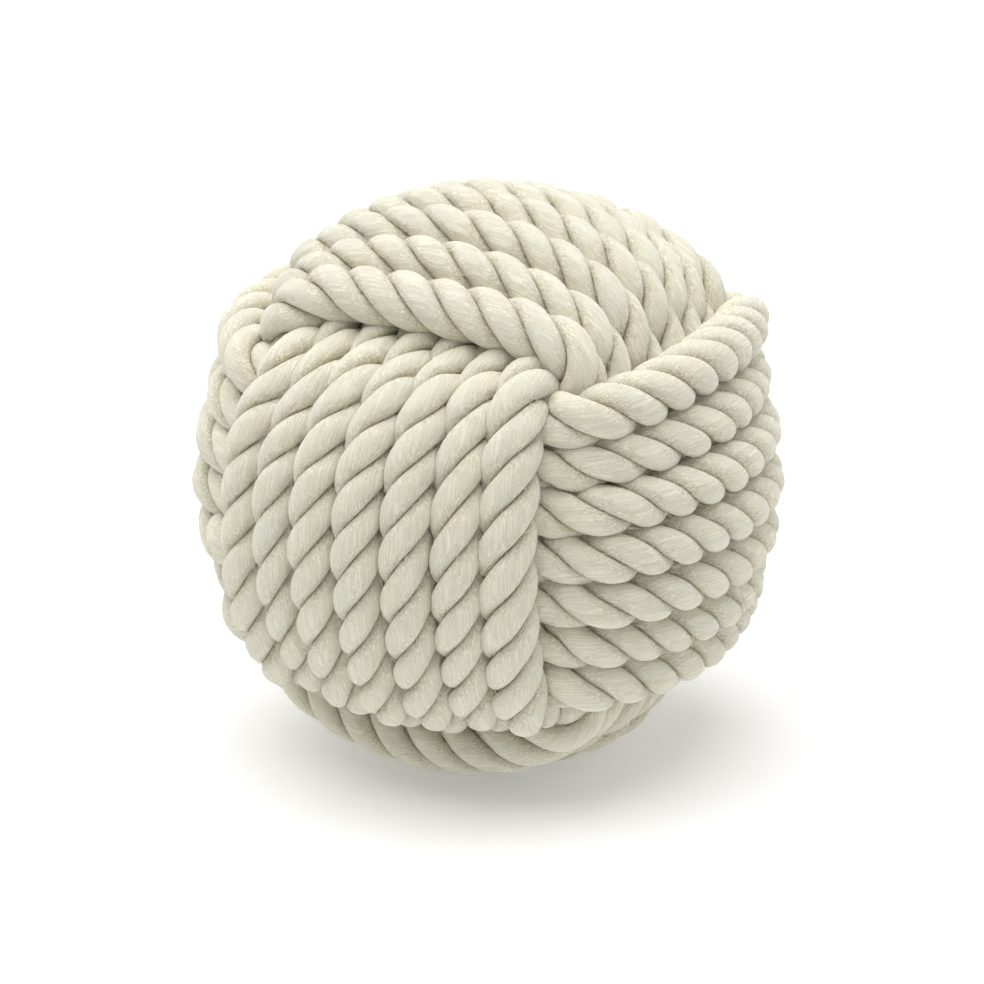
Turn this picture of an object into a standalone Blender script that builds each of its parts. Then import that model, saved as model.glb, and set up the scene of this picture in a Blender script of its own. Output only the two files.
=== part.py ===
"""Rope ball: a monkey's fist of seven turns each way, tied in one laid cotton rope round a turned wooden ball."""

import math

import bmesh
import bpy
import numpy as np
from mathutils import Matrix, Vector

# Rope and knot, in metres
ROPE_DIAMETER = 0.011
TURNS = 7
TURN_GAP = 0.0011
LAYER_GAP = 0.002
SEAT_GAP = 0.0003

# The flat that the ball stands on, as a share of the rope's diameter
FOOT_SHARE = 0.1

# Twine whipping on each hidden rope end
WHIPPING_WALL = 0.0006
WHIPPING_LENGTH = 0.0092

# Sizes that follow from the rope
ROPE_RADIUS = ROPE_DIAMETER / 2
PITCH = ROPE_DIAMETER + TURN_GAP
HALF_BAND = (TURNS - 1) / 2 * PITCH
OVER_LEVEL = 1.5 * HALF_BAND + 1.385 * PITCH
UNDER_LEVEL = OVER_LEVEL - ROPE_DIAMETER - LAYER_GAP
END_RUN = ROPE_DIAMETER
NECK_RADIUS = ROPE_RADIUS - WHIPPING_WALL - SEAT_GAP

# How far the outer layer swells out of round at the ball's eight corners, and how closely round them
CORNER_SWELL = 0.152
CORNER_SWELL_POWER = 1.9

# Where a turn dives from the outer layer to the inner one, in degrees from the middle of its outer side
DIVE_AT = 49.0
DIVE_HALF = 13.0
DIVE_LATER_AT_EDGE = 2.4
DIVE_LONGER_AT_EDGE = 1.0

# How far a turn leans to the middle of its band where it dives
LEAN = 0.04
LEAN_AT = 58.0
LEAN_WIDTH = 32.7

# The step to the next turn, half its length and how far it is moved off the middle where a rope end lies beside it
STEP_HALF = 44.0
STEP_SHIFT = 8.0

# The corner where the rope leaves one band for the next
CORNER_FROM = 22.0
CORNER_PULL = 4.8 * PITCH
CORNER_LIFT = 0.05
CORNER_POINTS = 4

# A rope end starts this far from the middle of the side that hides it
END_AT = 28.0

# Points of one turn, in degrees within each quarter
QUARTER = (0, 20.8, 38, 45.2, 55.4, 77.3, 90)

# Each band's axes: along the ball's axis that it winds round, through its outer sides, through its inner sides
TOP_BAND = (1, 2, 0)
SIDE_BAND = (2, 0, 1)
FRONT_BAND = (0, 1, 2)

# Facets
CORE_SEGMENTS = 32
WHIPPING_SEGMENTS = 24

# Rounds that settle a turn's distance from its axis on the swollen outer layer
SETTLING_ROUNDS = 6


def over_radius(aside, turned):
    """Distance from a turn's axis to the outer layer, which is a ball that swells towards its eight corners."""
    squared = OVER_LEVEL**2 - aside**2
    for _ in range(SETTLING_ROUNDS):
        flank = aside**2 * (squared * math.cos(turned) ** 2) * (squared * math.sin(turned) ** 2)
        corner = min(27 * flank / (squared + aside**2) ** 3, 1) ** CORNER_SWELL_POWER
        squared = (OVER_LEVEL * (1 + CORNER_SWELL * corner)) ** 2 - aside**2
    return math.sqrt(squared)


def turn_point(band, offset, angle):
    """Centre of the rope at an angle round a turn that lies offset from the ball's middle."""
    wound_round, outer, inner = band
    turned = math.radians(angle)
    from_outer = abs((angle + 90) % 180 - 90)
    lean = LEAN * math.exp(-(((from_outer - LEAN_AT) / LEAN_WIDTH) ** 2))
    aside = offset * (1 - lean)
    edge = (offset / HALF_BAND) ** 2
    dive_at = DIVE_AT + DIVE_LATER_AT_EDGE * edge
    dive_half = DIVE_HALF + DIVE_LONGER_AT_EDGE * edge
    dive = min(max((from_outer - dive_at + dive_half) / (2 * dive_half), 0), 1)
    dive = dive * dive * (3 - 2 * dive)
    under = math.sqrt(UNDER_LEVEL**2 - aside**2)
    out = over_radius(aside, turned) * (1 - dive) + under * dive
    point = Vector((0, 0, 0))
    point[wound_round] = aside
    point[outer] = out * math.cos(turned)
    point[inner] = out * math.sin(turned)
    return point


def turn_angles(start, end):
    """The angles of the rope's points from start to end, in the order that the rope passes them."""
    quarters = range(math.floor(min(start, end) / 90) - 1, math.ceil(max(start, end) / 90) + 1)
    marks = {90 * q + (a if q % 2 == 0 else 90 - a) for q in quarters for a in QUARTER}
    marks = {a for a in marks if min(start, end) < a < max(start, end)} | {start, end}
    return sorted(marks, reverse=end < start)


def band_points(band, first_side, start, end, step_at):
    """A band's turns, from the one on first_side to the one on the far side, with a step past step_at each turn."""
    way = 1 if end > start else -1
    points = []
    for angle in turn_angles(start, end):
        steps = 0
        for turn in range(TURNS - 1):
            passed = way * (angle - step_at) - 360 * turn
            steps += min(max((passed + STEP_HALF) / (2 * STEP_HALF), 0), 1)
        points.append(turn_point(band, first_side * (HALF_BAND - steps * PITCH), angle))
    return points


def corner_points(band, side, angle, way, next_band, next_side, next_angle):
    """The rope's bend from the last turn of one band into the first turn of the next, on the outside of both."""
    small = 0.01
    here = turn_point(band, side * HALF_BAND, angle)
    there = turn_point(next_band, next_side * HALF_BAND, next_angle)
    leaving = turn_point(band, side * HALF_BAND, angle + way * small) - here
    arriving = turn_point(next_band, next_side * HALF_BAND, next_angle + small) - there
    leaving = leaving.normalized() * CORNER_PULL
    arriving = arriving.normalized() * CORNER_PULL
    points = []
    for i in range(1, CORNER_POINTS + 1):
        t = i / (CORNER_POINTS + 1)
        point = (2 * t**3 - 3 * t**2 + 1) * here + (t**3 - 2 * t**2 + t) * leaving
        point += (3 * t**2 - 2 * t**3) * there + (t**3 - t**2) * arriving
        points.append(point * (1 + CORNER_LIFT * math.sin(math.pi * t)))
    return points


def straight_end(band, side, angle, way):
    """The tip of a rope end that runs straight on from an angle on one of a band's outermost turns."""
    small = 0.01
    start = turn_point(band, side * HALF_BAND, angle)
    ahead = turn_point(band, side * HALF_BAND, angle + way * small)
    return start + (ahead - start).normalized() * END_RUN


def rope_points():
    """The rope's centre from its hidden start to its hidden finish, about the ball's middle."""
    whole = 360 * (TURNS - 1)
    top = band_points(TOP_BAND, -1, 270 - END_AT, -whole - CORNER_FROM, STEP_SHIFT - 90)
    side = band_points(SIDE_BAND, 1, 180 - CORNER_FROM, whole + 360 + CORNER_FROM, 450)
    front = band_points(FRONT_BAND, 1, -CORNER_FROM, whole + 270 - END_AT, 270 + STEP_SHIFT)
    top_to_side = corner_points(TOP_BAND, 1, -CORNER_FROM, -1, SIDE_BAND, 1, 180 - CORNER_FROM)
    side_to_front = corner_points(SIDE_BAND, -1, CORNER_FROM, 1, FRONT_BAND, 1, -CORNER_FROM)
    start = straight_end(TOP_BAND, -1, 270 - END_AT, 1)
    finish_tip = straight_end(FRONT_BAND, -1, 270 - END_AT, 1)
    return [start] + top + top_to_side + side + side_to_front + front + [finish_tip]


def segment_distances(a0, a1, b0, b1):
    """Least distance of each segment a to each segment b, as a table."""
    along_a = (a1 - a0)[:, None]
    along_b = (b1 - b0)[None]
    between = a0[:, None] - b0[None]
    aa = (along_a * along_a).sum(-1)
    bb = (along_b * along_b).sum(-1)
    ab = (along_a * along_b).sum(-1)
    a_gap = (along_a * between).sum(-1)
    b_gap = (along_b * between).sum(-1)
    cross = np.maximum(aa * bb - ab * ab, 1e-18)
    s = np.clip((ab * b_gap - a_gap * bb) / cross, 0, 1)
    t = np.clip((ab * s + b_gap) / bb, 0, 1)
    s = np.clip((ab * t - a_gap) / aa, 0, 1)
    return np.linalg.norm(between + s[..., None] * along_a - t[..., None] * along_b, axis=-1)


def least_gap(points):
    """Least gap of the tube to itself, leaving out what lies within two diameters along the rope."""
    centre = np.array([tuple(p) for p in points])
    start, end = centre[:-1], centre[1:]
    reached = np.concatenate([[0], np.cumsum(np.linalg.norm(end - start, axis=1))])
    least = math.inf
    for i in range(len(start)):
        apart = reached[:-1] - reached[i + 1] > 2 * ROPE_DIAMETER
        if apart.any():
            found = segment_distances(start[i : i + 1], end[i : i + 1], start[apart], end[apart])
            least = min(least, found.min())
    return least - ROPE_DIAMETER, reached[-1]


def room_inside(points):
    """How near the rope's centre comes to the ball's middle."""
    centre = np.array([tuple(p) for p in points])
    start, along = centre[:-1], np.diff(centre, axis=0)
    share = np.clip(-(start * along).sum(-1) / (along * along).sum(-1), 0, 1)
    return np.linalg.norm(start + share[:, None] * along, axis=-1).min()


def collection(name):
    made = bpy.data.collections.new(name)
    bpy.context.scene.collection.children.link(made)
    return made


def material(name, colour, roughness):
    made = bpy.data.materials.new(name)
    made.use_nodes = True
    shader = made.node_tree.nodes["Principled BSDF"]
    shader.inputs["Base Color"].default_value = (*colour, 1)
    shader.inputs["Roughness"].default_value = roughness
    shader.inputs["Metallic"].default_value = 0
    return made


def finish(obj, name, parts, surface):
    """Names an object, gives it its material and leaves it in the parts' collection alone."""
    obj.name = name
    obj.data.name = name
    obj.data.materials.clear()
    obj.data.materials.append(surface)
    for held in list(obj.users_collection):
        held.objects.unlink(obj)
    parts.objects.link(obj)
    obj.data.shade_smooth()
    obj.data.set_sharp_from_angle(angle=math.radians(50))
    return obj


def rope_mesh(points):
    """The rope as one closed mesh: a six-sided tube, drawn in at both ends where the whippings sit."""
    curve = bpy.data.curves.new("rope_route", "CURVE")
    curve.dimensions = "3D"
    curve.bevel_depth = ROPE_RADIUS
    curve.bevel_resolution = 1
    curve.use_fill_caps = True
    spline = curve.splines.new("POLY")
    spline.points.add(len(points) - 1)
    neck = NECK_RADIUS / ROPE_RADIUS
    for i, (place, point) in enumerate(zip(spline.points, points)):
        place.co = (*point, 1)
        place.radius = neck if i in (0, 1, len(points) - 2, len(points) - 1) else 1
    route = bpy.data.objects.new("rope_route", curve)
    bpy.context.scene.collection.objects.link(route)
    evaluated = route.evaluated_get(bpy.context.evaluated_depsgraph_get())
    mesh = bpy.data.meshes.new_from_object(evaluated)
    work = bmesh.new()
    work.from_mesh(mesh)
    bmesh.ops.remove_doubles(work, verts=work.verts, dist=0.00001)
    bmesh.ops.recalc_face_normals(work, faces=work.faces)
    work.to_mesh(mesh)
    work.free()
    bpy.data.objects.remove(route)
    return mesh


def make_rope(points, parts, cutters):
    """The wound rope, standing on a flat cut across its lowest turns. Returns the height of the ball's middle."""
    mesh = rope_mesh(points)
    lowest = min(v.co.z for v in mesh.vertices)
    middle = -lowest - FOOT_SHARE * ROPE_DIAMETER
    rope = bpy.data.objects.new("rope", mesh)
    rope.location.z = middle
    parts.objects.link(rope)
    finish(rope, "rope", parts, material("cotton_rope", (0.76, 0.72, 0.58), 0.9))
    bpy.ops.mesh.primitive_cube_add(size=1)
    below = bpy.context.object
    below.name = "foot_cutter"
    below.scale = (2 * OVER_LEVEL, 2 * OVER_LEVEL, ROPE_DIAMETER)
    below.location.z = -ROPE_DIAMETER / 2
    for held in list(below.users_collection):
        held.objects.unlink(below)
    cutters.objects.link(below)
    below.hide_render = True
    below.display_type = "WIRE"
    cut = rope.modifiers.new("foot", "BOOLEAN")
    cut.operation = "DIFFERENCE"
    cut.solver = "EXACT"
    cut.object = below
    return middle


def make_core(points, middle, parts):
    """The turned wooden ball, as large as the rope's turns leave room for."""
    radius = room_inside(points) - ROPE_RADIUS - SEAT_GAP
    bpy.ops.mesh.primitive_uv_sphere_add(
        segments=CORE_SEGMENTS, ring_count=CORE_SEGMENTS // 2, radius=radius, location=(0, 0, middle)
    )
    finish(bpy.context.object, "core_ball", parts, material("turned_wood", (0.55, 0.38, 0.22), 0.6))
    return radius


def make_whipping(name, end, inward, middle, parts):
    """A ring of twine round a rope end, from the end point in along the straight run."""
    inner = NECK_RADIUS + SEAT_GAP
    outer = inner + WHIPPING_WALL
    first = (END_RUN - WHIPPING_LENGTH) / 2
    last = first + WHIPPING_LENGTH
    profile = bpy.data.meshes.new(name)
    corners = [(outer, 0, last), (outer, 0, first), (inner, 0, first), (inner, 0, last)]
    profile.from_pydata(corners, [(0, 1), (1, 2), (2, 3), (3, 0)], [])
    ring = bpy.data.objects.new(name, profile)
    parts.objects.link(ring)
    turn = ring.modifiers.new("turn", "SCREW")
    turn.steps = WHIPPING_SEGMENTS
    turn.render_steps = WHIPPING_SEGMENTS
    turn.use_merge_vertices = True
    turn.merge_threshold = 0.00001
    axis = (inward - end).normalized()
    upright = Matrix.Translation(end + Vector((0, 0, middle))) @ axis.to_track_quat("Z", "Y").to_matrix().to_4x4()
    ring.matrix_world = upright
    finish(ring, name, parts, material(f"{name}_twine", (0.62, 0.5, 0.33), 0.7))


def main():
    for obj in list(bpy.data.objects):
        bpy.data.objects.remove(obj)
    parts = collection("rope_ball")
    cutters = collection("cutters")
    points = rope_points()
    gap, length = least_gap(points)
    print(f"rope: {len(points)} points, {length:.3f} m long, least gap to itself {gap * 1000:.2f} mm")
    middle = make_rope(points, parts, cutters)
    core = make_core(points, middle, parts)
    make_whipping("start_whipping", points[0], points[1], middle, parts)
    make_whipping("finish_whipping", points[-1], points[-2], middle, parts)
    print(f"ball's middle {middle * 1000:.2f} mm up, core {core * 2000:.1f} mm across")


main()
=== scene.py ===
# %% [markdown]
# # A rope ball
# This is a monkey's fist: one long cotton rope, wound round a wooden ball in three bands of seven turns. The packed
# model holds it as a plain tube along the rope's route. Here the tube becomes real rope, laid of three strands, and the
# knot is pulled tight as a maker would. The frame is loaded first and never moved, so every piece that follows lies
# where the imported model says.

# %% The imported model
import math

import bpy
import numpy as np
from mathutils import Matrix, Vector


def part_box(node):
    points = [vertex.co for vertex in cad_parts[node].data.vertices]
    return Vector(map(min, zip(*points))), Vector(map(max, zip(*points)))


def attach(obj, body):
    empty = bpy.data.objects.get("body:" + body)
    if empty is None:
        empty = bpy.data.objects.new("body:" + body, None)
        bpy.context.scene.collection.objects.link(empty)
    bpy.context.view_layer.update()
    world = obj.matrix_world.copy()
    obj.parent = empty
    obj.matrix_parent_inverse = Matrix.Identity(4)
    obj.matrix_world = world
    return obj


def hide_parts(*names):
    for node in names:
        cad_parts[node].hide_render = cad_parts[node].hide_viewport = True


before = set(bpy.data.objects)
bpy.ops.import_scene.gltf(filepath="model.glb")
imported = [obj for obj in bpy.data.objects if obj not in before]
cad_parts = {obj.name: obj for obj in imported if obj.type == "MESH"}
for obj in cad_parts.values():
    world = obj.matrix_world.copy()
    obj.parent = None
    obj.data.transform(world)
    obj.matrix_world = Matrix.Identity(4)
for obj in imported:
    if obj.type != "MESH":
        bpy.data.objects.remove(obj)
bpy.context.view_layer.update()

core_low, core_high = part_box("core_ball")
middle = (core_low + core_high) / 2
core_radius = (core_high.z - core_low.z) / 2
print(f"nodes {sorted(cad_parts)}, middle {middle.z * 1000:.1f} mm up, core {core_radius * 2000:.1f} mm across")

# %% [markdown]
# ## Sizes
# Everything in a knot is counted in rope widths. Soft laid rope presses its neighbours a little flat, so the turns lie
# one pitch apart, which is slightly less than the rope's own width. The rest are the knot's own sizes: how far out the
# two layers lie, and where a turn dives from the outer one to the inner one.

# %% The rope and the knot
# Lengths are in metres, and angles in degrees round a band.
PITCH = 0.0121
TURNS = 7
HALF_BAND = (TURNS - 1) / 2 * PITCH
OVER_LEVEL = 5.885 * PITCH
UNDER_LEVEL = 4.81 * PITCH
# The ball stands out at its eight corners, where the turns pile up.
CORNER_SWELL = 0.152
CORNER_SWELL_POWER = 1.9
# A turn dives under the crossing band here. The turns at a band's edges dive a little later and more slowly.
DIVE_AT, DIVE_HALF, DIVE_LATER, DIVE_LONGER = 49.0, 13.0, 2.4, 1.0
# The turns lean together a little where they dive.
LEAN, LEAN_AT, LEAN_WIDTH = 0.04, 58.0, 32.7
# Under the crossing band each turn steps over to the place of the next one.
STEP_HALF, STEP_SHIFT = 44.0, 8.0
# A bend from one band to the next starts this far past the middle of an outer side.
CORNER_FROM, CORNER_PULL, CORNER_LIFT = 22.0, 4.8 * PITCH, 0.05
# The rope's ends stop this far short of the middle of a side where their band passes under.
END_AT = 28.0
# Each band as three axes: the one that it is wound round, and the two that its turns run through.
TOP_BAND, SIDE_BAND, FRONT_BAND = (1, 2, 0), (2, 0, 1), (0, 1, 2)
print(f"turns {PITCH * 1000} mm apart, band {2 * HALF_BAND * 1000:.1f} mm from first to last")

# %% [markdown]
# ## The route of one turn
# A turn could be drawn point by point, but the 21 turns all follow one rule, so a function is shorter and truer. It
# takes an angle round the band and says how far out the rope lies there: on the outer layer where the band crosses over
# its neighbour, on the inner one where it passes under, and in a smooth dive between the two.

# %% One turn
SWELL_ROUNDS = 6


def smooth_step(x):
    """An even rise from 0 to 1, with no kink at either end."""
    x = np.clip(x, 0, 1)
    return x * x * (3 - 2 * x)


def turn_points(band, offset, angle):
    """Centres of the rope at angles round turns that lie offset from the ball's middle."""
    turned = np.radians(angle)
    from_outer = np.abs((angle + 90) % 180 - 90)
    aside = offset * (1 - LEAN * np.exp(-(((from_outer - LEAN_AT) / LEAN_WIDTH) ** 2)))
    squared = OVER_LEVEL**2 - aside**2
    # The swell depends on how far out the turn lies, and moves it, so it is worked out again until it settles.
    for _ in range(SWELL_ROUNDS):
        flank = aside**2 * (squared * np.cos(turned) ** 2) * (squared * np.sin(turned) ** 2)
        corner = np.minimum(27 * flank / (squared + aside**2) ** 3, 1) ** CORNER_SWELL_POWER
        squared = (OVER_LEVEL * (1 + CORNER_SWELL * corner)) ** 2 - aside**2
    edge = (offset / HALF_BAND) ** 2
    dive_half = DIVE_HALF + DIVE_LONGER * edge
    dive = smooth_step((from_outer - DIVE_AT - DIVE_LATER * edge + dive_half) / (2 * dive_half))
    out = np.sqrt(squared) * (1 - dive) + np.sqrt(UNDER_LEVEL**2 - aside**2) * dive
    points = np.zeros((len(turned), 3))
    points[:, band[0]] = aside
    points[:, band[1]] = out * np.cos(turned)
    points[:, band[2]] = out * np.sin(turned)
    return points


middle_turn = np.linalg.norm(turn_points(TOP_BAND, np.zeros(1), np.zeros(1)))
print(f"a band's middle turn lies {middle_turn * 1000:.1f} mm from the ball's middle")

# %% [markdown]
# ## The whole route
# The rope is one piece, so the turns can't be closed rings. It winds the top band first and steps one pitch over at
# each round, where the crossing band hides it. At a corner behind the ball it bends into the level band, and at another
# into the front band. Both ends are tucked under a crossing band and run straight for one pitch. A curve laid through a
# few drawn points would wobble where they are uneven, so the same rule gives a point every two degrees.

# %% Bands, bends and ends
DEGREES_APART = 2
BEND_POINTS = 20
TIP = np.array([[0.33], [0.67], [1.0]])


def band_turns(band, first_side, start, end, step_at):
    """A band's turns as (points, angles), stepping over past step_at each turn."""
    way = 1 if end > start else -1
    angle = np.linspace(start, end, int(abs(end - start) / DEGREES_APART) + 1)
    steps = np.zeros(len(angle))
    for turn in range(TURNS - 1):
        steps += np.clip((way * (angle - step_at) - 360 * turn + STEP_HALF) / (2 * STEP_HALF), 0, 1)
    return turn_points(band, first_side * (HALF_BAND - steps * PITCH), angle), angle


def heading(band, side, angle, way):
    """A place on one of a band's outermost turns, and the way that the rope runs there."""
    pair = turn_points(band, np.full(2, side * HALF_BAND), np.array([angle, angle + way * 0.01]))
    ahead = pair[1] - pair[0]
    return pair[0], ahead / np.linalg.norm(ahead)


def corner_bend(leave, join):
    """The bend from the last turn of one band into the first of the next."""
    (here, leaving), (there, arriving) = leave, join
    t = (np.arange(1, BEND_POINTS) / BEND_POINTS)[:, None]
    bend = (2 * t**3 - 3 * t**2 + 1) * here + (t**3 - 2 * t**2 + t) * leaving * CORNER_PULL
    bend += (3 * t**2 - 2 * t**3) * there + (t**3 - t**2) * arriving * CORNER_PULL
    return bend * (1 + CORNER_LIFT * np.sin(math.pi * t))


whole = 360 * (TURNS - 1)
top, top_angle = band_turns(TOP_BAND, -1, 270 - END_AT, -whole - CORNER_FROM, STEP_SHIFT - 90)
side, side_angle = band_turns(SIDE_BAND, 1, 180 - CORNER_FROM, whole + 360 + CORNER_FROM, 450)
front, front_angle = band_turns(FRONT_BAND, 1, -CORNER_FROM, whole + 270 - END_AT, 270 + STEP_SHIFT)
bend_1 = corner_bend(heading(TOP_BAND, 1, -CORNER_FROM, -1), heading(SIDE_BAND, 1, 180 - CORNER_FROM, 1))
bend_2 = corner_bend(heading(SIDE_BAND, -1, CORNER_FROM, 1), heading(FRONT_BAND, 1, -CORNER_FROM, 1))
start_from, start_way = heading(TOP_BAND, -1, 270 - END_AT, 1)
finish_from, finish_way = heading(FRONT_BAND, -1, 270 - END_AT, 1)
tip_1 = start_from + start_way * PITCH * TIP[::-1]
tip_2 = finish_from + finish_way * PITCH * TIP
route = np.concatenate([tip_1, top, bend_1, side, bend_2, front, tip_2])
print(f"route of {len(route)} points")

# %% [markdown]
# ## Pulling the knot tight
# A maker works the slack out of a monkey's fist turn by turn, until every turn lies hard against its neighbours. The
# drawn route is too regular for that. Blender's own physics could pull it tight, but it is slow, and hard to repeat. So
# the rope is treated as a string of beads, 3 mm apart: each round pulls the string a little shorter, pushes beads apart
# where two turns would run into each other, and keeps them off the wooden ball. After some hundred rounds the turns
# nest as real ones do. Nothing is random, so it comes out the same each time.

# %% Beads on the route
BEAD = 0.003


def along(points):
    """How far along the line each point lies."""
    return np.concatenate([[0], np.cumsum(np.linalg.norm(np.diff(points, axis=0), axis=1))])


def evenly(points, spacing, *carried):
    """The same line with evenly spaced points, and the carried values at them."""
    reached = along(points)
    places = np.linspace(0, reached[-1], int(round(reached[-1] / spacing)) + 1)
    columns = [np.interp(places, reached, column) for column in (*points.T, *carried)]
    return np.stack(columns[:3], 1), columns[3:]


# The angle round the ball carries on from band to band, so that the middles of the outer sides can be found later.
parts = [(tip_1, 0), (top, 1), (bend_1, 0), (side, 2), (bend_2, 0), (front, 3), (tip_2, 0)]
band_mark = np.concatenate([np.full(len(points), mark, float) for points, mark in parts])
angles = {1: top_angle, 2: side_angle, 3: front_angle}
angle_mark = np.concatenate([angles[mark] if mark else np.full(len(points), 90.0) for points, mark in parts])
beads, (band_mark, angle_mark) = evenly(route, BEAD, band_mark, angle_mark)
print(f"{len(beads)} beads on {along(beads)[-1]:.2f} m")

# %% Tightening
# Turns that lie side by side touch at CONTACT. Those that cross press deeper into each other, to CROSSED.
CONTACT = 0.985 * PITCH
CROSSED = 0.88 * PITCH
ON_CORE = 4.98 * PITCH
# Beads nearer to each other than WATCHED are kept apart, if more than SAME_TURN beads lie between them on the rope.
WATCHED = CONTACT + 0.35 * PITCH
SAME_TURN = int(1.6 * PITCH / BEAD)
WATCH_AGAIN = 40
# What each round does: shortens, straightens, holds to the drawn route, and spaces the beads evenly.
SHORTEN, STRAIGHTEN, HOLD, SPACE = 0.35, 0.08, 0.002, 0.25
PINNED = 5
ROUNDS, QUICK_ROUNDS = 500, 120
# Distances are worked out for this many beads at a time, so that their table stays small.
BLOCK = 400


def near_pairs(points, reach, apart):
    """Pairs of beads of different turns that lie within reach of each other."""
    first, second = [], []
    for block in range(0, len(points), BLOCK):
        squared = ((points[block : block + BLOCK, None] - points[None]) ** 2).sum(-1)
        i, j = np.nonzero(squared < reach**2)
        kept = j - i - block > apart
        first.append(i[kept] + block)
        second.append(j[kept])
    return np.concatenate(first), np.concatenate(second)


def tighten(points, rounds):
    """The beads after so many rounds, and the least distance between two turns."""
    drawn, count = points.copy(), len(points)
    for done in range(rounds):
        if done % WATCH_AGAIN == 0:
            i, j = near_pairs(points, WATCHED, SAME_TURN)
            run = np.gradient(points, axis=0)
            run /= np.linalg.norm(run, axis=1)[:, None]
            wanted = CROSSED + (CONTACT - CROSSED) * (run[i] * run[j]).sum(1) ** 2
        apart = points[i] - points[j]
        distance = np.sqrt((apart * apart).sum(1))
        close = distance < wanted
        push = apart * (np.where(close, wanted - distance, 0) * 0.5 / np.maximum(distance, 1e-6))[:, None]
        moved = np.stack([np.bincount(i, p, count) - np.bincount(j, p, count) for p in push.T], 1)
        touching = np.bincount(i[close], minlength=count) + np.bincount(j[close], minlength=count)
        moved /= np.sqrt(np.maximum(touching, 1))[:, None]
        pull = np.zeros_like(points)
        pull[1:-1] = (points[2:] + points[:-2]) / 2 - points[1:-1]
        stiff = np.zeros_like(points)
        stiff[1:-1] = (pull[2:] + pull[:-2]) / 2 - pull[1:-1]
        new = points + moved + SHORTEN * pull - STRAIGHTEN * stiff + HOLD * (drawn - points)
        new[:PINNED], new[-PINNED:] = drawn[:PINNED], drawn[-PINNED:]
        ahead = np.zeros_like(points)
        ahead[1:-1] = new[2:] - new[:-2]
        ahead /= np.maximum(np.linalg.norm(ahead, axis=1), 1e-9)[:, None]
        step = np.linalg.norm(np.diff(new, axis=0), axis=1)
        new[1:-1] += ahead[1:-1] * ((step[1:] - step[:-1]) * SPACE)[:, None]
        out = np.linalg.norm(new, axis=1)
        inside = out < ON_CORE
        new[inside] *= (ON_CORE / out[inside])[:, None]
        points = new
    return points, distance.min()


rounds = ROUNDS
tight, least = tighten(beads, rounds)
print(f"after {rounds} rounds the rope is {along(tight)[-1]:.2f} m long, its centres {least * 1000:.1f} mm apart")

# %% [markdown]
# ## The maker's hand
# Tied by hand, the knot isn't quite even: a turn sits a little high here, and two lean together there. Each bead could
# be moved for itself, but a maker's thumb moves a whole stretch of rope. So each shift below is strongest at its place
# and dies away round it, and all the beads near by move with it.

# %% Ten places shifted as a maker's thumb would shift them
# Each has its place from the ball's middle, its reach and its shift, all counted in pitches.
HAND = {
    "right turn's knuckle": ((4.4, 3.7, 2.9), (1.2, 1.2, 1.2), (0.22, 0.2, 0.18)),
    "right turn": ((4.9, 0.5, 3.1), (1.5, 2.5, 0.6), (0.08, 0.0, 0.22)),
    "left top corner": ((-3.9, -3.2, 3.6), (1.4, 1.4, 1.4), (0.35, -0.2, 0.0)),
    "left top edge": ((-4.4, -1.2, 3.6), (1.3, 2.0, 1.3), (-0.15, 0.0, 0.12)),
    "front top edge": ((0.3, -4.0, 4.3), (2.6, 2.0, 1.8), (0.0, 0.0, -0.5)),
    "front left fan": ((-1.8, -4.4, 3.4), (2.4, 1.6, 1.4), (0.35, 0.0, 0.0)),
    "back bend": ((-3.4, 3.4, 4.3), (1.6, 1.6, 1.2), (0.1, -0.1, -0.5)),
    "turn below the back bend": ((-4.2, 2.9, 2.2), (1.3, 1.3, 1.1), (0.0, 0.0, 0.26)),
    "turn beside the back bend": ((-2.8, 3.7, 2.9), (0.9, 1.0, 1.2), (-0.22, 0.05, 0.0)),
    "left foot corner": ((-3.5, -3.5, -3.5), (1.9, 1.9, 1.9), (0.17, 0.17, 0.17)),
}
for place, reach, shift in HAND.values():
    near = np.exp(-(((tight / PITCH - place) / reach) ** 2).sum(1))
    tight = tight + np.array(shift) * PITCH * near[:, None]
print(f"{len(HAND)} places shifted by hand")

# %% [markdown]
# ## The way that the strands lie
# The rope is right-laid: on an upright turn its strands climb to the right. Each of the three goes once round the rope
# in nearly three pitches. The turns could each take that lay as it comes, but on the real ball neighbouring turns keep
# in step, so that their grooves nearly meet and run on across a side. So the lay is stretched or shortened by a few per
# cent between the middles of the sides, where each turn is twisted by the same small angle against the one before it.

# %% Centre line, and the lay along it
LAY = 0.0338
RING = 0.0014
IN_STEP = -21.0
# Each of the three strands takes up this many degrees to either side of its crest.
HALF_STRAND = 60
# A ring counts as lying at the middle of a side within this many degrees.
AT_MIDDLE = 1.5
# Soft rope is never laid quite evenly: the lay wanders over these lengths by these angles.
LAY_WANDERS = ((0.171, 5), (0.093, 4), (0.061, 3))


def refine(points, spacing, *carried):
    """A smooth curve through the beads, as close rings."""
    before = np.concatenate([[2 * points[0] - points[1]], points[:-1]])
    after = np.concatenate([points[1:], [2 * points[-1] - points[-2]]])
    halfway = (9 * (points[:-1] + points[1:]) - before[:-1] - after[1:]) / 16
    fine = np.empty((2 * len(points) - 1, 3))
    fine[::2], fine[1::2] = points, halfway
    spread = [np.interp(np.arange(len(fine)) / 2, np.arange(len(points)), column) for column in carried]
    return evenly(fine, spacing, *spread)


centre, (band_mark, angle_mark) = refine(tight, RING, band_mark, angle_mark)
reached = along(centre)
ahead = np.gradient(centre, axis=0)
ahead /= np.linalg.norm(ahead, axis=1)[:, None]
outward = centre - (centre * ahead).sum(1)[:, None] * ahead
outward /= np.linalg.norm(outward, axis=1)[:, None]
across = np.cross(ahead, outward)
print(f"{len(centre)} rings on {reached[-1]:.2f} m")

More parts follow.
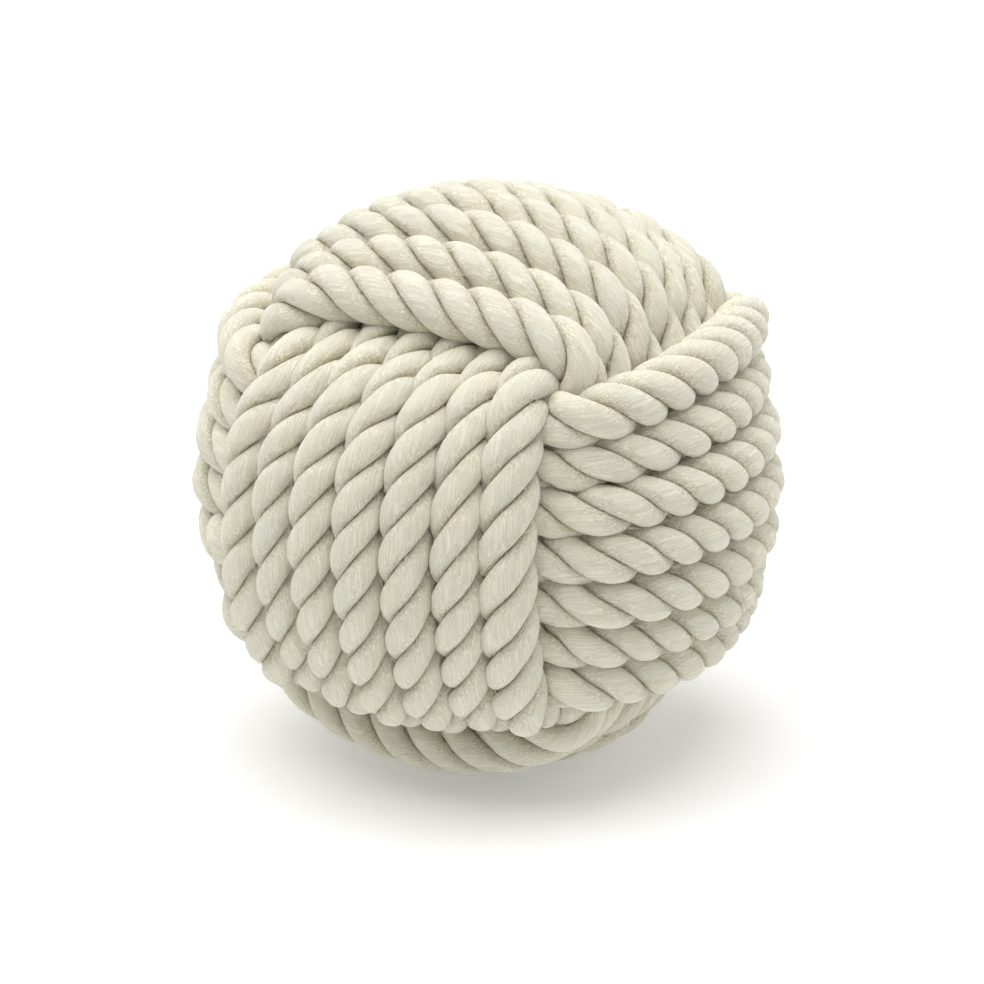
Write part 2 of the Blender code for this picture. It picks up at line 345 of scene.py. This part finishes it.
# %% Neighbours in step
# The band that each ring lies in: 0 in a bend or an end, and -1 where a band runs into one of those.
in_band = np.where(np.abs(band_mark - np.round(band_mark)) < 0.01, np.round(band_mark), -1)
on_side = (np.abs((angle_mark + 90) % 180 - 90) < AT_MIDDLE) & (in_band > 0)
starts = np.nonzero(on_side & ~np.roll(on_side, 1))[0]
stops = np.nonzero(on_side & ~np.roll(on_side, -1))[0]
mid_rings = (starts + stops) // 2
natural = 360 * reached / LAY
correction, seen = [], {}
for ring in mid_rings:
    which = (round(band_mark[ring]), round(angle_mark[ring] / 180) % 2)
    seen[which] = seen.get(which, -1) + 1
    wanted = IN_STEP * seen[which]
    last = correction[-1] if correction else 0
    # The three strands look alike, so the nearest of them is brought to the wanted angle.
    correction.append(last + (wanted - natural[ring] - last + HALF_STRAND) % (2 * HALF_STRAND) - HALF_STRAND)
lay_angle = np.radians(natural + np.interp(reached, reached[mid_rings], correction))
for length, turned in LAY_WANDERS:
    lay_angle += math.radians(turned) * np.sin(2 * math.pi * reached / length)
print(f"{len(mid_rings)} side middles in step, lay {LAY * 1000:.1f} mm")

# %% [markdown]
# ## Three strands
# The strands could be round tubes, but soft cotton strands press each other flat where they meet, which leaves only a
# narrow dark groove between them. So each strand has the section of a plump wedge: a full round back outside, two flat
# walls against its neighbours, and a point at the rope's centre. The section is swept along the rope and turns with the
# lay. Where a strand faces the next turn it has room to bulge into the hollow between them, so its back stands out more
# there and its edges sink in. Every point also keeps its place on the untwisted rope, because the yarns of a strand
# turn back against the lay and so run straight along the rope. The pattern of yarns reads that place.

# %% A strand's section
ROPE_RADIUS = 0.0070
GROOVE_RADIUS = 0.0040
FLATTENED = 2.5
BACK_POINTS = 17
BACK_EDGE = 59.4
WALL_ANGLES, WALL_OUT = np.array([58.5, 56.0]), np.array([0.0022, 0.0011])
POINT_OUT = 0.0003
SIDE_BULGE, SIDE_NOTCH = 0.02, 0.09


def strand_back(across_back):
    """How full a strand's back is, so many degrees from its crest, and how far that lies from the rope's centre."""
    full = (1 - np.abs(across_back / HALF_STRAND) ** FLATTENED) ** 0.5
    return full, GROOVE_RADIUS + (ROPE_RADIUS - GROOVE_RADIUS) * full


def side_shape(across_back, turned):
    """How much more or less a strand stands out there, when it is turned towards the next turn of rope."""
    edge = (across_back / HALF_STRAND) ** 2
    return 1 + np.sin(turned) ** 2 * (SIDE_BULGE * (1 - edge) - SIDE_NOTCH * edge)


back = np.sin(np.linspace(-1, 1, BACK_POINTS) * math.pi / 2) * BACK_EDGE
fullness, back_out = strand_back(back)
section_angle = np.radians(np.concatenate([back, WALL_ANGLES, [0.0], -WALL_ANGLES[::-1]]))
section_out = np.concatenate([back_out, WALL_OUT, [POINT_OUT], WALL_OUT[::-1]])
depth = np.concatenate([1 - fullness, np.ones(2 * len(WALL_OUT) + 1)])
print(f"section of {len(section_angle)} points, groove {(ROPE_RADIUS - back_out[0]) * 1000:.1f} mm deep")

# %% Fuller turns at the bands' edges
EDGE_SWELL = 0.09
# In pitches: how far from a band's middle and from the ball's middle the swell begins, and over what it grows.
EDGE_FROM, EDGE_OVER = 2.3, 0.5
OUTER_FROM, OUTER_OVER = 5.3, 0.4
SOFTENED = 17
# A turn at the edge of a band has a neighbour on one side only, so it stays rounder where it lies outside.
band_axis = np.select([in_band == mark for mark in (1, 2, 3)], [TOP_BAND[0], SIDE_BAND[0], FRONT_BAND[0]], 0)
aside = np.abs(centre[np.arange(len(centre)), band_axis]) / PITCH
outside = smooth_step((np.linalg.norm(centre, axis=1) / PITCH - OUTER_FROM) / OUTER_OVER)
swell = 1 + EDGE_SWELL * smooth_step((aside - EDGE_FROM) / EDGE_OVER) * outside * (in_band >= 0)
swell = np.convolve(np.pad(swell, SOFTENED // 2, mode="edge"), np.ones(SOFTENED) / SOFTENED, mode="valid")
print(f"{(swell > 1 + EDGE_SWELL / 2).mean() * 100:.0f} % of the rope is fuller")

# %% Sweeping the strands
SQUEEZE_OUT = 0.98
FOOT = -middle.z + 0.00002
NECK, NECK_SLOPE = 0.2, 0.003
WHIPPED = 0.0105
# Each strand is by turns a little thinner and a little thicker.
UNEVEN, UNEVEN_LENGTHS, UNEVEN_APART = 0.035, (0.083, 0.031, 0.0197), 0.05


def wave(s, lengths):
    """A slow wander between -1 and 1 along the rope."""
    return sum(np.sin(2 * math.pi * s / length + 1.7 * n) for n, length in enumerate(lengths)) / len(lengths)


def linked(name, data):
    """A new object in the scene."""
    made = bpy.data.objects.new(name, data)
    bpy.context.scene.collection.objects.link(made)
    return made


def mesh_piece(name, points, faces):
    """A smooth piece with its points counted from the ball's middle."""
    mesh = bpy.data.meshes.new(name)
    mesh.from_pydata((points + np.array(middle)).reshape(-1, 3).tolist(), [], faces)
    mesh.shade_smooth()
    return linked(name, mesh)


def strand_mesh(name, first, last, strand):
    """One of the three strands, from one ring of the centre line to another."""
    rings = np.arange(first, last)
    s = reached[rings][:, None]
    turned = lay_angle[rings][:, None] + math.radians(2 * HALF_STRAND * strand) + section_angle[None]
    plump = swell[rings][:, None] * (1 + UNEVEN * wave(s + UNEVEN_APART * strand, UNEVEN_LENGTHS))
    from_end = np.minimum(s, reached[-1] - s)
    radius = section_out[None] * plump * (1 - NECK * (1 - smooth_step((from_end - WHIPPED) / NECK_SLOPE)))
    radius = radius * side_shape(np.degrees(section_angle)[None], turned)
    out, over = (radius * np.cos(turned) * SQUEEZE_OUT)[..., None], (radius * np.sin(turned))[..., None]
    points = centre[rings][:, None] + out * outward[rings][:, None] + over * across[rings][:, None]
    points[..., 2] = np.maximum(points[..., 2], FOOT)
    count = len(section_angle)
    corner = np.arange(len(rings) - 1)[:, None] * count + np.arange(count)[None]
    beside = np.arange(len(rings) - 1)[:, None] * count + (np.arange(count)[None] + 1) % count
    sides = np.stack([corner, beside, beside + count, corner + count], -1).reshape(-1, 4)
    ends = [list(range(count))[::-1], list(range((len(rings) - 1) * count, len(rings) * count))]
    piece = mesh_piece(name, points, sides.tolist() + ends)
    for cap in piece.data.polygons[-2:]:
        cap.use_smooth = False
    untwisted = np.stack([radius * np.cos(turned), radius * np.sin(turned), np.broadcast_to(s, radius.shape)], -1)
    place = piece.data.attributes.new("yarn_place", "FLOAT_VECTOR", "POINT")
    place.data.foreach_set("vector", untwisted.astype(np.float32).ravel())
    groove = piece.data.attributes.new("groove", "FLOAT", "POINT")
    groove.data.foreach_set("value", np.broadcast_to(depth, radius.shape).astype(np.float32).ravel())
    return piece


# %% Nine strands
# Pieces join where the rope passes under another band, so no joint shows.
under = np.abs(angle_mark % 180 - 90) < AT_MIDDLE
cut_1, cut_2 = (np.nonzero(under & (in_band == mark))[0][-1] for mark in (1, 2))
ranges = {"top_band": (0, cut_1 + 1), "level_band": (cut_1, cut_2 + 1), "front_band": (cut_2, len(centre))}
strands = []
for band_name, (first, last) in ranges.items():
    for strand in range(3):
        strands.append(strand_mesh(f"{band_name}_strand_{strand + 1}", first, last, strand))
print(f"{len(strands)} strands, {sum(len(p.data.polygons) for p in strands) * 2} triangles")

# %% [markdown]
# ## Cotton
# The rope is soft, undyed cotton. Its yarns show as fine lines along the rope, about half a millimetre apart. They lie
# close on a strand's crest, which is rubbed smooth, and part towards the grooves; the dark gaps between them are
# painted shade, painted deeper towards the grooves. It is quite matt, and where the strands meet it looks a warm olive
# brown, because light there has bounced from thread to thread; that olive brown is painted shade in the colour. A
# photograph of a weave could be wrapped round it, but noise that is stretched along the untwisted rope follows each
# strand on its own, and never repeats.


# %% Helpers for materials
def linear(code):
    """A six-figure sRGB colour as the linear one that shaders use."""
    values = [int(code[i : i + 2], 16) / 255 for i in (0, 2, 4)]
    return (*[v / 12.92 if v <= 0.04045 else ((v + 0.055) / 1.055) ** 2.4 for v in values], 1)


def set_inputs(tree, node, inputs):
    """Gives a node's inputs their values, or their links from other nodes."""
    for socket, value in inputs.items():
        if isinstance(value, bpy.types.NodeSocket):
            tree.links.new(value, node.inputs[socket])
        else:
            node.inputs[socket].default_value = value


def add(tree, kind, inputs, **settings):
    """One node, with its settings and its inputs."""
    made = tree.nodes.new(kind)
    for name, value in settings.items():
        setattr(made, name, value)
    set_inputs(tree, made, inputs)
    return made


def new_material(name):
    """A new material, its nodes, and the one for its surface."""
    made = bpy.data.materials.new(name)
    made.use_nodes = True
    return made, made.node_tree, made.node_tree.nodes["Principled BSDF"]


# %% Natural cotton: yarns
# Patterns are counted per metre, across the rope twice and then along it. Yarns are about 0.4 mm wide and 24 mm long,
# patches of colour 4 mm wide and 11 mm long, and dents 3 mm wide.
YARNS, PATCHES, DENTS = (2600, 2600, 42), (260, 260, 90), 330.0
cotton, tree, surface = new_material("natural_laid_cotton")
place = add(tree, "ShaderNodeAttribute", {}, attribute_name="yarn_place")
groove = add(tree, "ShaderNodeAttribute", {}, attribute_name="groove")
# Each yarn is a little paler or darker than the next.
fine = add(tree, "ShaderNodeVectorMath", {0: place.outputs["Vector"], 1: YARNS}, operation="MULTIPLY")
yarn = add(tree, "ShaderNodeTexNoise", {"Vector": fine.outputs[0], "Scale": 1.0, "Detail": 2.0, "Roughness": 0.7})
tone = add(tree, "ShaderNodeMapRange", {"Value": yarn.outputs[0], "From Min": 0.32, "From Max": 0.68})
# The strands' crests are rubbed smooth and nearly one colour, and the yarns stand apart towards the grooves.
apart = add(
    tree, "ShaderNodeMapRange", {"Value": groove.outputs["Fac"], "From Max": 0.25, "To Min": 0.8, "To Max": 1.3}
)
toned = add(tree, "ShaderNodeMix", {0: apart.outputs[0], 2: 0.5, 3: tone.outputs[0]}, clamp_factor=False)
body = add(
    tree, "ShaderNodeMix", {0: toned.outputs[0], 6: linear("D8D4BE"), 7: linear("EBE7D5")}, data_type="RGBA"
)
# The gaps between the yarns are hair-thin, and their darkness is painted shade, painted deeper towards the grooves.
gap = add(tree, "ShaderNodeMath", {0: yarn.outputs[0], 1: 0.47, 2: 0.018}, operation="COMPARE")
gap_shade_deepens = add(
    tree, "ShaderNodeMapRange", {"Value": groove.outputs["Fac"], "From Max": 0.5, "To Min": 0.32, "To Max": 1.0}
)
gap_shade = add(tree, "ShaderNodeMath", {0: gap.outputs[0], 1: gap_shade_deepens.outputs[0]}, operation="MULTIPLY")
gap_shaded_colour = add(
    tree, "ShaderNodeMix", {0: gap_shade.outputs[0], 6: body.outputs[2], 7: linear("9E946C")}, data_type="RGBA"
)
print("yarns", round(1000 / YARNS[0], 1), "mm wide")

# %% Natural cotton: patches, grooves and dents
# Some patches are greyer, as the cotton was spun from several bales.
coarse = add(tree, "ShaderNodeVectorMath", {0: place.outputs["Vector"], 1: PATCHES}, operation="MULTIPLY")
bale = add(tree, "ShaderNodeTexNoise", {"Vector": coarse.outputs[0], "Scale": 1.0, "Detail": 1.0})
grey = add(tree, "ShaderNodeMapRange", {"Value": bale.outputs[0], "From Min": 0.5, "From Max": 0.75, "To Max": 0.45})
mixed = add(
    tree, "ShaderNodeMix", {0: grey.outputs[0], 6: gap_shaded_colour.outputs[2], 7: linear("D8DACD")}, data_type="RGBA"
)
# Towards the bottoms of the grooves the colour turns olive brown: painted shade, for the light that bounces from thread
# to thread there.
shade = add(
    tree, "ShaderNodeMapRange", {"Value": groove.outputs["Fac"], "From Min": 0.45, "From Max": 1.0, "To Max": 0.65}
)
colour = add(
    tree, "ShaderNodeMix", {0: shade.outputs[0], 6: mixed.outputs[2], 7: linear("BFB27F")}, data_type="RGBA"
)
# Height: the yarns and their gaps, and soft dents.
raised = add(tree, "ShaderNodeMath", {0: gap.outputs[0], 1: -0.35, 2: yarn.outputs[0]}, operation="MULTIPLY_ADD")
dent = add(tree, "ShaderNodeTexNoise", {"Vector": place.outputs["Vector"], "Scale": DENTS, "Detail": 1.0})
ridged = add(tree, "ShaderNodeMath", {0: raised.outputs[0], 1: apart.outputs[0]}, operation="MULTIPLY")
height = add(tree, "ShaderNodeMath", {0: dent.outputs[0], 1: 1.5, 2: ridged.outputs[0]}, operation="MULTIPLY_ADD")
bump = add(tree, "ShaderNodeBump", {"Height": height.outputs[0], "Strength": 0.65, "Distance": 0.0004})
# Cotton is matt, with a faint sheen of fibre ends, and light goes a millimetre or two into it.
set_inputs(tree, surface, {
    "Base Color": colour.outputs[2], "Normal": bump.outputs[0], "Roughness": 0.95, "Specular IOR Level": 0.2,
    "Sheen Weight": 0.3, "Sheen Roughness": 0.6,
    "Subsurface Weight": 0.45, "Subsurface Radius": (1.0, 0.95, 0.75), "Subsurface Scale": 0.0018,
})
for piece in strands:
    piece.data.materials.append(cotton)
    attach(piece, "root")
    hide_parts("rope")
print("cotton on", len(strands), "strands")

# %% [markdown]
# ## Loose fibres
# Spun cotton is never quite smooth: long fibre ends stand off the strands and soften their outline, and shorter fuzz
# bridges the grooves between them. Hair particles would make both, but they leave no mesh. So some thousands
# of fibres are drawn as very thin three-sided threads, each rooted on a strand's back, and joined in two pieces for
# each band. A cotton fibre is 0.015 mm thick, too fine to show, so they are drawn about a tenth of a millimetre thick.

# %% Threads
OFF_FLOOR = FOOT + 0.0002
OFF_ENDS = 12
random = np.random.default_rng(11)


def threads(name, line, thick, normal, run):
    """Thin three-sided threads along lines of points, as one piece."""
    count, rings = line.shape[:2]
    around = np.radians([0, 120, 240])[:, None]
    aside = np.cross(run, normal)[:, None, None]
    points = line[:, :, None] + thick * (np.cos(around) * normal[:, None, None] + np.sin(around) * aside)
    first_of = np.arange(count)[:, None] * 3 * rings
    base = first_of[..., None] + np.arange(rings - 1)[None, :, None] * 3
    k = np.arange(3)[None, None]
    quads = np.stack([base + k, base + (k + 1) % 3, base + (k + 1) % 3 + 3, base + k + 3], -1).reshape(-1, 4)
    last_of = first_of + 3 * rings - 3
    caps = np.concatenate([first_of + [2, 1, 0], last_of + [0, 1, 2]])
    return mesh_piece(name, points, quads.tolist() + caps.tolist())


def rings_for_roots(first, last, count, tries, out):
    """Up to count rings that lie at least so far out, away from both ends of a band's piece."""
    ring = random.integers(first + OFF_ENDS, last - OFF_ENDS, count * tries)
    return ring[np.linalg.norm(centre[ring], axis=1) > out][:count]


def curved_lines(root, length, straight, curl, points):
    """Lines from their roots, each with its own length, direction and curl."""
    steps = np.linspace(0, 1, points)[None, :, None]
    return root[:, None] + length[:, None] * (steps * straight[:, None] + steps**2 * 0.5 * curl[:, None]), steps


# %% Fibre ends
FIBRE_RADIUS = 0.00005
FIBRE_COUNT = 4000
FIBRE_LENGTHS = 0.0015, 0.006
FIBRES_OUT = 5.0 * PITCH
ROOT_AT, ROOT_SUNK = ROPE_RADIUS * 0.97, 0.0004


def fibre_mesh(name, first, last, count):
    """Loose fibre ends, each along the rope one way or the other."""
    ring = rings_for_roots(first, last, count, 3, FIBRES_OUT)
    count = len(ring)
    side = random.uniform(-1.4, 1.4, count)
    normal = outward[ring] * np.cos(side)[:, None] + across[ring] * np.sin(side)[:, None]
    length = random.uniform(*FIBRE_LENGTHS, count)[:, None]
    run = ahead[ring] * random.choice([-1, 1], count)[:, None] + across[ring] * random.normal(0, 0.45, count)[:, None]
    run /= np.linalg.norm(run, axis=1)[:, None]
    lift = np.abs(random.normal(0.12, 0.16, count))[:, None]
    curl = random.normal(0, 0.5, (count, 3))
    line, steps = curved_lines(centre[ring] + normal * ROOT_AT, length, run + normal * lift, curl, 5)
    line -= ROOT_SUNK * (1 - steps) * normal[:, None]
    line[..., 2] = np.maximum(line[..., 2], OFF_FLOOR)
    return threads(name, line, FIBRE_RADIUS * (1 - 0.6 * steps)[..., None], normal, run)


# %% Fuzz across the grooves
FUZZ_RADIUS = 0.000055
FUZZ_COUNT = 13500
FUZZ_LENGTHS = 0.0008, 0.0026
FUZZ_OUT = 5.2 * PITCH
SHOULDER = 42, 58
FUZZ_SUNK = 0.0001


def fuzz_mesh(name, first, last, count):
    """Short fibres, each from a strand's shoulder across the groove beside it."""
    ring = rings_for_roots(first, last, count, 2, FUZZ_OUT)
    count = len(ring)
    local = random.choice([-1, 1], count) * random.uniform(*SHOULDER, count)
    turned = lay_angle[ring] + np.radians(2 * HALF_STRAND * random.integers(0, 3, count) + local)
    turned = (turned + math.pi) % (2 * math.pi) - math.pi
    facing = np.abs(turned) < 1.7
    ring, local, turned = ring[facing], local[facing], turned[facing]
    count = len(ring)
    root_out = strand_back(local)[1] * swell[ring] * side_shape(local, turned) - FUZZ_SUNK
    normal = outward[ring] * np.cos(turned)[:, None] + across[ring] * np.sin(turned)[:, None]
    sideways = np.cross(ahead[ring], normal)
    run = -ahead[ring] * np.sign(local)[:, None] + sideways * random.normal(0, 0.35, count)[:, None]
    run /= np.linalg.norm(run, axis=1)[:, None]
    length = random.uniform(*FUZZ_LENGTHS, count)[:, None]
    lift = random.normal(0.25, 0.3, count)[:, None]
    curl = random.normal(0, 0.35, (count, 3))
    line, steps = curved_lines(centre[ring] + normal * root_out[:, None], length, run + normal * lift, curl, 3)
    line[..., 2] = np.maximum(line[..., 2], OFF_FLOOR)
    return threads(name, line, FUZZ_RADIUS * (1 - 0.5 * steps)[..., None], normal, run)


# %% Loose cotton
loose, tree, surface = new_material("loose_cotton_fibre")
where = add(tree, "ShaderNodeTexCoord", {})
# Single fibres are paler than the rope, in patches a millimetre wide.
patch = add(tree, "ShaderNodeTexNoise", {"Vector": where.outputs["Object"], "Scale": 900.0, "Detail": 0.0})
shown = add(tree, "ShaderNodeMix", {0: patch.outputs[0], 6: linear("F4EFE2"), 7: linear("DDD4BC")}, data_type="RGBA")
set_inputs(tree, surface, {"Base Color": shown.outputs[2], "Roughness": 0.8})
for band_name, (first, last) in ranges.items():
    for piece in (
        fibre_mesh(f"{band_name}_fibres", first, last, FIBRE_COUNT),
        fuzz_mesh(f"{band_name}_fuzz", first, last, FUZZ_COUNT),
    ):
        piece.data.materials.append(loose)
        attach(piece, "root")
        print(piece.name, len(piece.data.polygons), "faces")

# %% [markdown]
# ## The ball inside
# The knot is tied round a turned beech ball. It is hidden, but it is kept in the part. The imported ball
# could be kept and only given its wood, but a lathe leaves a small centre mark at both ends of the axis. So a sphere is
# added at the core's size, and the faces at its poles are pushed in.

# %% Core ball
MARK_HALF_ANGLE = math.radians(6)
MARK_RIM = 0.0006
PUSHED_IN = (0.7, 0.7, 0.965)
bpy.ops.object.select_all(action="DESELECT")
bpy.ops.mesh.primitive_uv_sphere_add(segments=96, ring_count=64, radius=core_radius, location=middle)
core = bpy.context.object
core.name = "turned_core"
bpy.ops.object.transform_apply(location=True)
pole = core_radius * math.cos(MARK_HALF_ANGLE)
for vertex in core.data.vertices:
    vertex.select = abs(vertex.co.z - middle.z) > pole
for face in core.data.polygons:
    face.select = all(core.data.vertices[v].select for v in face.vertices)
for edge in core.data.edges:
    edge.select = all(core.data.vertices[v].select for v in edge.vertices)
bpy.ops.object.mode_set(mode="EDIT")
bpy.ops.mesh.select_mode(type="FACE")
bpy.ops.mesh.inset(thickness=MARK_RIM)
bpy.ops.transform.resize(value=PUSHED_IN, center_override=middle)
bpy.ops.object.mode_set(mode="OBJECT")
bpy.ops.object.shade_smooth()
print("core", len(core.data.polygons), "faces")

# %% Turned beech
# A wave texture has 20 / (2 pi) waves in a unit, so these growth rings are 6 mm apart, as in fast-grown beech. They lie
# round an axis that runs up through the ball. The flecks are 1 mm wide and 14 mm long.
GROWTH_RINGS, FLECKS, LENGTHWISE = 52.0, 900.0, 0.08
beech, tree, surface = new_material("turned_beech")
where = add(tree, "ShaderNodeTexCoord", {})
grain_at = add(tree, "ShaderNodeMapping", {"Vector": where.outputs["Object"], "Scale": (1.0, 1.0, LENGTHWISE)})
rings = add(
    tree, "ShaderNodeTexWave",
    {"Vector": grain_at.outputs[0], "Scale": GROWTH_RINGS, "Distortion": 2.5, "Detail": 2.0},
    wave_type="RINGS", rings_direction="Z",
)
fleck = add(tree, "ShaderNodeTexNoise", {"Vector": grain_at.outputs[0], "Scale": FLECKS, "Detail": 2.0})
wood = add(tree, "ShaderNodeMix", {0: rings.outputs["Fac"], 6: linear("C79A6B"), 7: linear("AE7C4C")}, data_type="RGBA")
flecked = add(tree, "ShaderNodeMix", {0: fleck.outputs[0], 6: wood.outputs[2], 7: linear("94663C")}, data_type="RGBA")
pores = add(tree, "ShaderNodeBump", {"Height": fleck.outputs[0], "Strength": 0.3, "Distance": 0.0002})
# Bare, unsealed wood is matt, with a soft gleam.
set_inputs(tree, surface, {"Base Color": flecked.outputs[2], "Normal": pores.outputs[0], "Roughness": 0.6})
core.data.materials.append(beech)
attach(core, "root")
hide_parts("core_ball")
print("beech on", core.name)

# %% [markdown]
# ## Whippings
# A cut rope end opens unless it is bound. Both ends carry a whipping of waxed flax twine: eight tight turns, side by
# side, each a little wider than the strands that it draws in. A plain ring would do for its outline, but a wound twine
# is what is there, so a spiral is laid round the end's line and given the twine's thickness.

# %% Twine round the rope's ends
TWINE = 0.0011
TWINE_TURNS = 8
TWINE_POINTS = 28
TWINE_FROM, TWINE_APART = 0.0012, 1.02
BITE = 0.0001


def whipping(name, end, inward):
    """Twine wound round the rope from its end inwards, with both of its own ends tucked under."""
    bound = ROPE_RADIUS * (1 - NECK) - BITE
    side_way = inward.orthogonal().normalized()
    other_way = inward.cross(side_way)
    curve = bpy.data.curves.new(name, "CURVE")
    curve.dimensions = "3D"
    curve.bevel_depth = TWINE / 2
    curve.bevel_resolution = 3
    curve.use_fill_caps = True
    line = curve.splines.new("POLY")
    line.points.add(TWINE_TURNS * TWINE_POINTS)
    for i, point in enumerate(line.points):
        turn = i / TWINE_POINTS
        tucked = max(0, 0.5 - turn, turn - TWINE_TURNS + 0.5)
        out = bound + TWINE / 2 - tucked * TWINE
        spot = end + inward * (TWINE_FROM + turn * TWINE * TWINE_APART)
        spot += (side_way * math.cos(2 * math.pi * turn) + other_way * math.sin(2 * math.pi * turn)) * out
        point.co = (*spot, 1)
    wound = linked(name, curve)
    bpy.ops.object.select_all(action="DESELECT")
    wound.select_set(True)
    bpy.context.view_layer.objects.active = wound
    bpy.ops.object.convert(target="MESH")
    bpy.ops.object.mode_set(mode="EDIT")
    bpy.ops.mesh.select_all(action="SELECT")
    bpy.ops.mesh.remove_doubles(threshold=0.00001)
    bpy.ops.mesh.normals_make_consistent(inside=False)
    bpy.ops.object.mode_set(mode="OBJECT")
    bpy.ops.object.shade_smooth()
    return bpy.context.object


# %% Waxed flax
# The plies of the twine show as flecks 0.6 mm wide. The wax gives it a satin gleam.
PLIES = 1600.0
flax, tree, surface = new_material("waxed_flax_twine")
where = add(tree, "ShaderNodeTexCoord", {})
plies = add(tree, "ShaderNodeTexNoise", {"Vector": where.outputs["Object"], "Scale": PLIES, "Detail": 2.0})
twine = add(tree, "ShaderNodeMix", {0: plies.outputs[0], 6: linear("C9AE7E"), 7: linear("9A7C4B")}, data_type="RGBA")
rough = add(tree, "ShaderNodeBump", {"Height": plies.outputs[0], "Strength": 0.5, "Distance": 0.0002})
set_inputs(tree, surface, {"Base Color": twine.outputs[2], "Normal": rough.outputs[0], "Roughness": 0.55})
for name, node, end, inward in (
    ("start_twine", "start_whipping", centre[0], centre[6] - centre[0]),
    ("finish_twine", "finish_whipping", centre[-1], centre[-7] - centre[-1]),
):
    piece = whipping(name, Vector(end) + middle, Vector(inward).normalized())
    piece.data.materials.append(flax)
    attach(piece, "root")
    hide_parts(node)
    print(piece.name, len(piece.data.polygons), "faces")

# %% [markdown]
# ## Floor, camera and light
# The ball stands on a plain pale floor, which glows a little, as a light table does, so that the shadow on it stays
# faint. The camera looks from the photograph's side, 28 degrees round to the right and 19 degrees up, from far enough
# away that the ball hardly spreads towards the lens. A sky picture could light it, but area lights have their size in
# metres: one wide light hangs overhead, a little to the front, two smaller ones stand behind, and two faint ones in
# front. So the tops of the turns are palest, and no shadow is hard.

# %% Floor
FLOOR_SIZE = 12
MOTTLES = 3.0
bpy.ops.object.select_all(action="DESELECT")
bpy.ops.mesh.primitive_plane_add(size=FLOOR_SIZE)
floor = bpy.context.object
floor.name = "floor"
pale, tree, surface = new_material("glowing_pale_paper")
where = add(tree, "ShaderNodeTexCoord", {})
# Its mottles are a third of a metre wide and too faint to see.
mottle = add(tree, "ShaderNodeTexNoise", {"Vector": where.outputs["Object"], "Scale": MOTTLES, "Detail": 1.0})
paper = add(tree, "ShaderNodeMix", {0: mottle.outputs[0], 6: linear("E2E2E1"), 7: linear("DFDFDE")}, data_type="RGBA")
# The floor glows a little: a light of its own, which lightens the ball's shadow on it.
set_inputs(tree, surface, {
    "Base Color": paper.outputs[2], "Roughness": 0.9, "Emission Color": linear("FFFFFF"), "Emission Strength": 0.26,
})
floor.data.materials.append(pale)
print("floor", FLOOR_SIZE, "m wide")

# %% Camera
AZIMUTH, ELEVATION, ROLL = math.radians(27.75), math.radians(19.4), math.radians(-0.85)
PITCHES_AWAY = 113
DISTANCE = PITCHES_AWAY * PITCH
# The photograph's size, the place of the ball's middle in it, and how large a pitch is there, in pixels.
PHOTO_WIDE, MIDDLE_ACROSS, MIDDLE_DOWN = 984, 488.1, 473.4
PIXELS_PER_PITCH = 46.3
SENSOR = 36
nearer = Vector((
    math.sin(AZIMUTH) * math.cos(ELEVATION), -math.cos(AZIMUTH) * math.cos(ELEVATION), math.sin(ELEVATION)
))
right = Vector((math.cos(AZIMUTH), math.sin(AZIMUTH), 0))
up = nearer.cross(right)
tilted_right = right * math.cos(ROLL) + up * math.sin(ROLL)
tilted_up = up * math.cos(ROLL) - right * math.sin(ROLL)
turned = Matrix((tilted_right, tilted_up, nearer)).transposed().to_4x4()
camera = linked("camera", bpy.data.cameras.new("camera"))
camera.matrix_world = Matrix.Translation(middle + nearer * DISTANCE) @ turned
camera.data.sensor_width = SENSOR
camera.data.lens = PIXELS_PER_PITCH * PITCHES_AWAY / PHOTO_WIDE * SENSOR
camera.data.shift_x = (PHOTO_WIDE / 2 - MIDDLE_ACROSS) / PHOTO_WIDE
camera.data.shift_y = (MIDDLE_DOWN - PHOTO_WIDE / 2) / PHOTO_WIDE
camera.data.clip_end = 50
bpy.context.scene.camera = camera
print(f"lens {camera.data.lens:.0f} mm, {DISTANCE:.2f} m away")


# %% Lights
def soft_box(name, place, size, power):
    """A round area light that faces the ball's middle."""
    light = bpy.data.lights.new(name, "AREA")
    light.shape = "DISK"
    light.size = size
    light.energy = power
    turned = (Vector(place) - middle).to_track_quat("Z", "Y").to_matrix().to_4x4()
    linked(name, light).matrix_world = Matrix.Translation(place) @ turned


soft_box("overhead", (-0.1, -0.3, 2.2), 3.2, 80)
soft_box("behind_right", (0.95, 1.35, 0.8), 1.4, 9)
soft_box("behind_left", (-1.6, 0.5, 0.8), 1.4, 7)
soft_box("left", (-1.5, -1.2, 0.7), 1.2, 1.0)
soft_box("right", (1.5, -0.9, 0.6), 1.2, 1.5)
world = bpy.data.worlds.new("studio")
bpy.context.scene.world = world
world.use_nodes = True
set_inputs(world.node_tree, world.node_tree.nodes["Background"], {"Color": linear("FFFFFF"), "Strength": 0.16})
bpy.context.scene.view_settings.view_transform = "Standard"
print("five lights and a white sky")
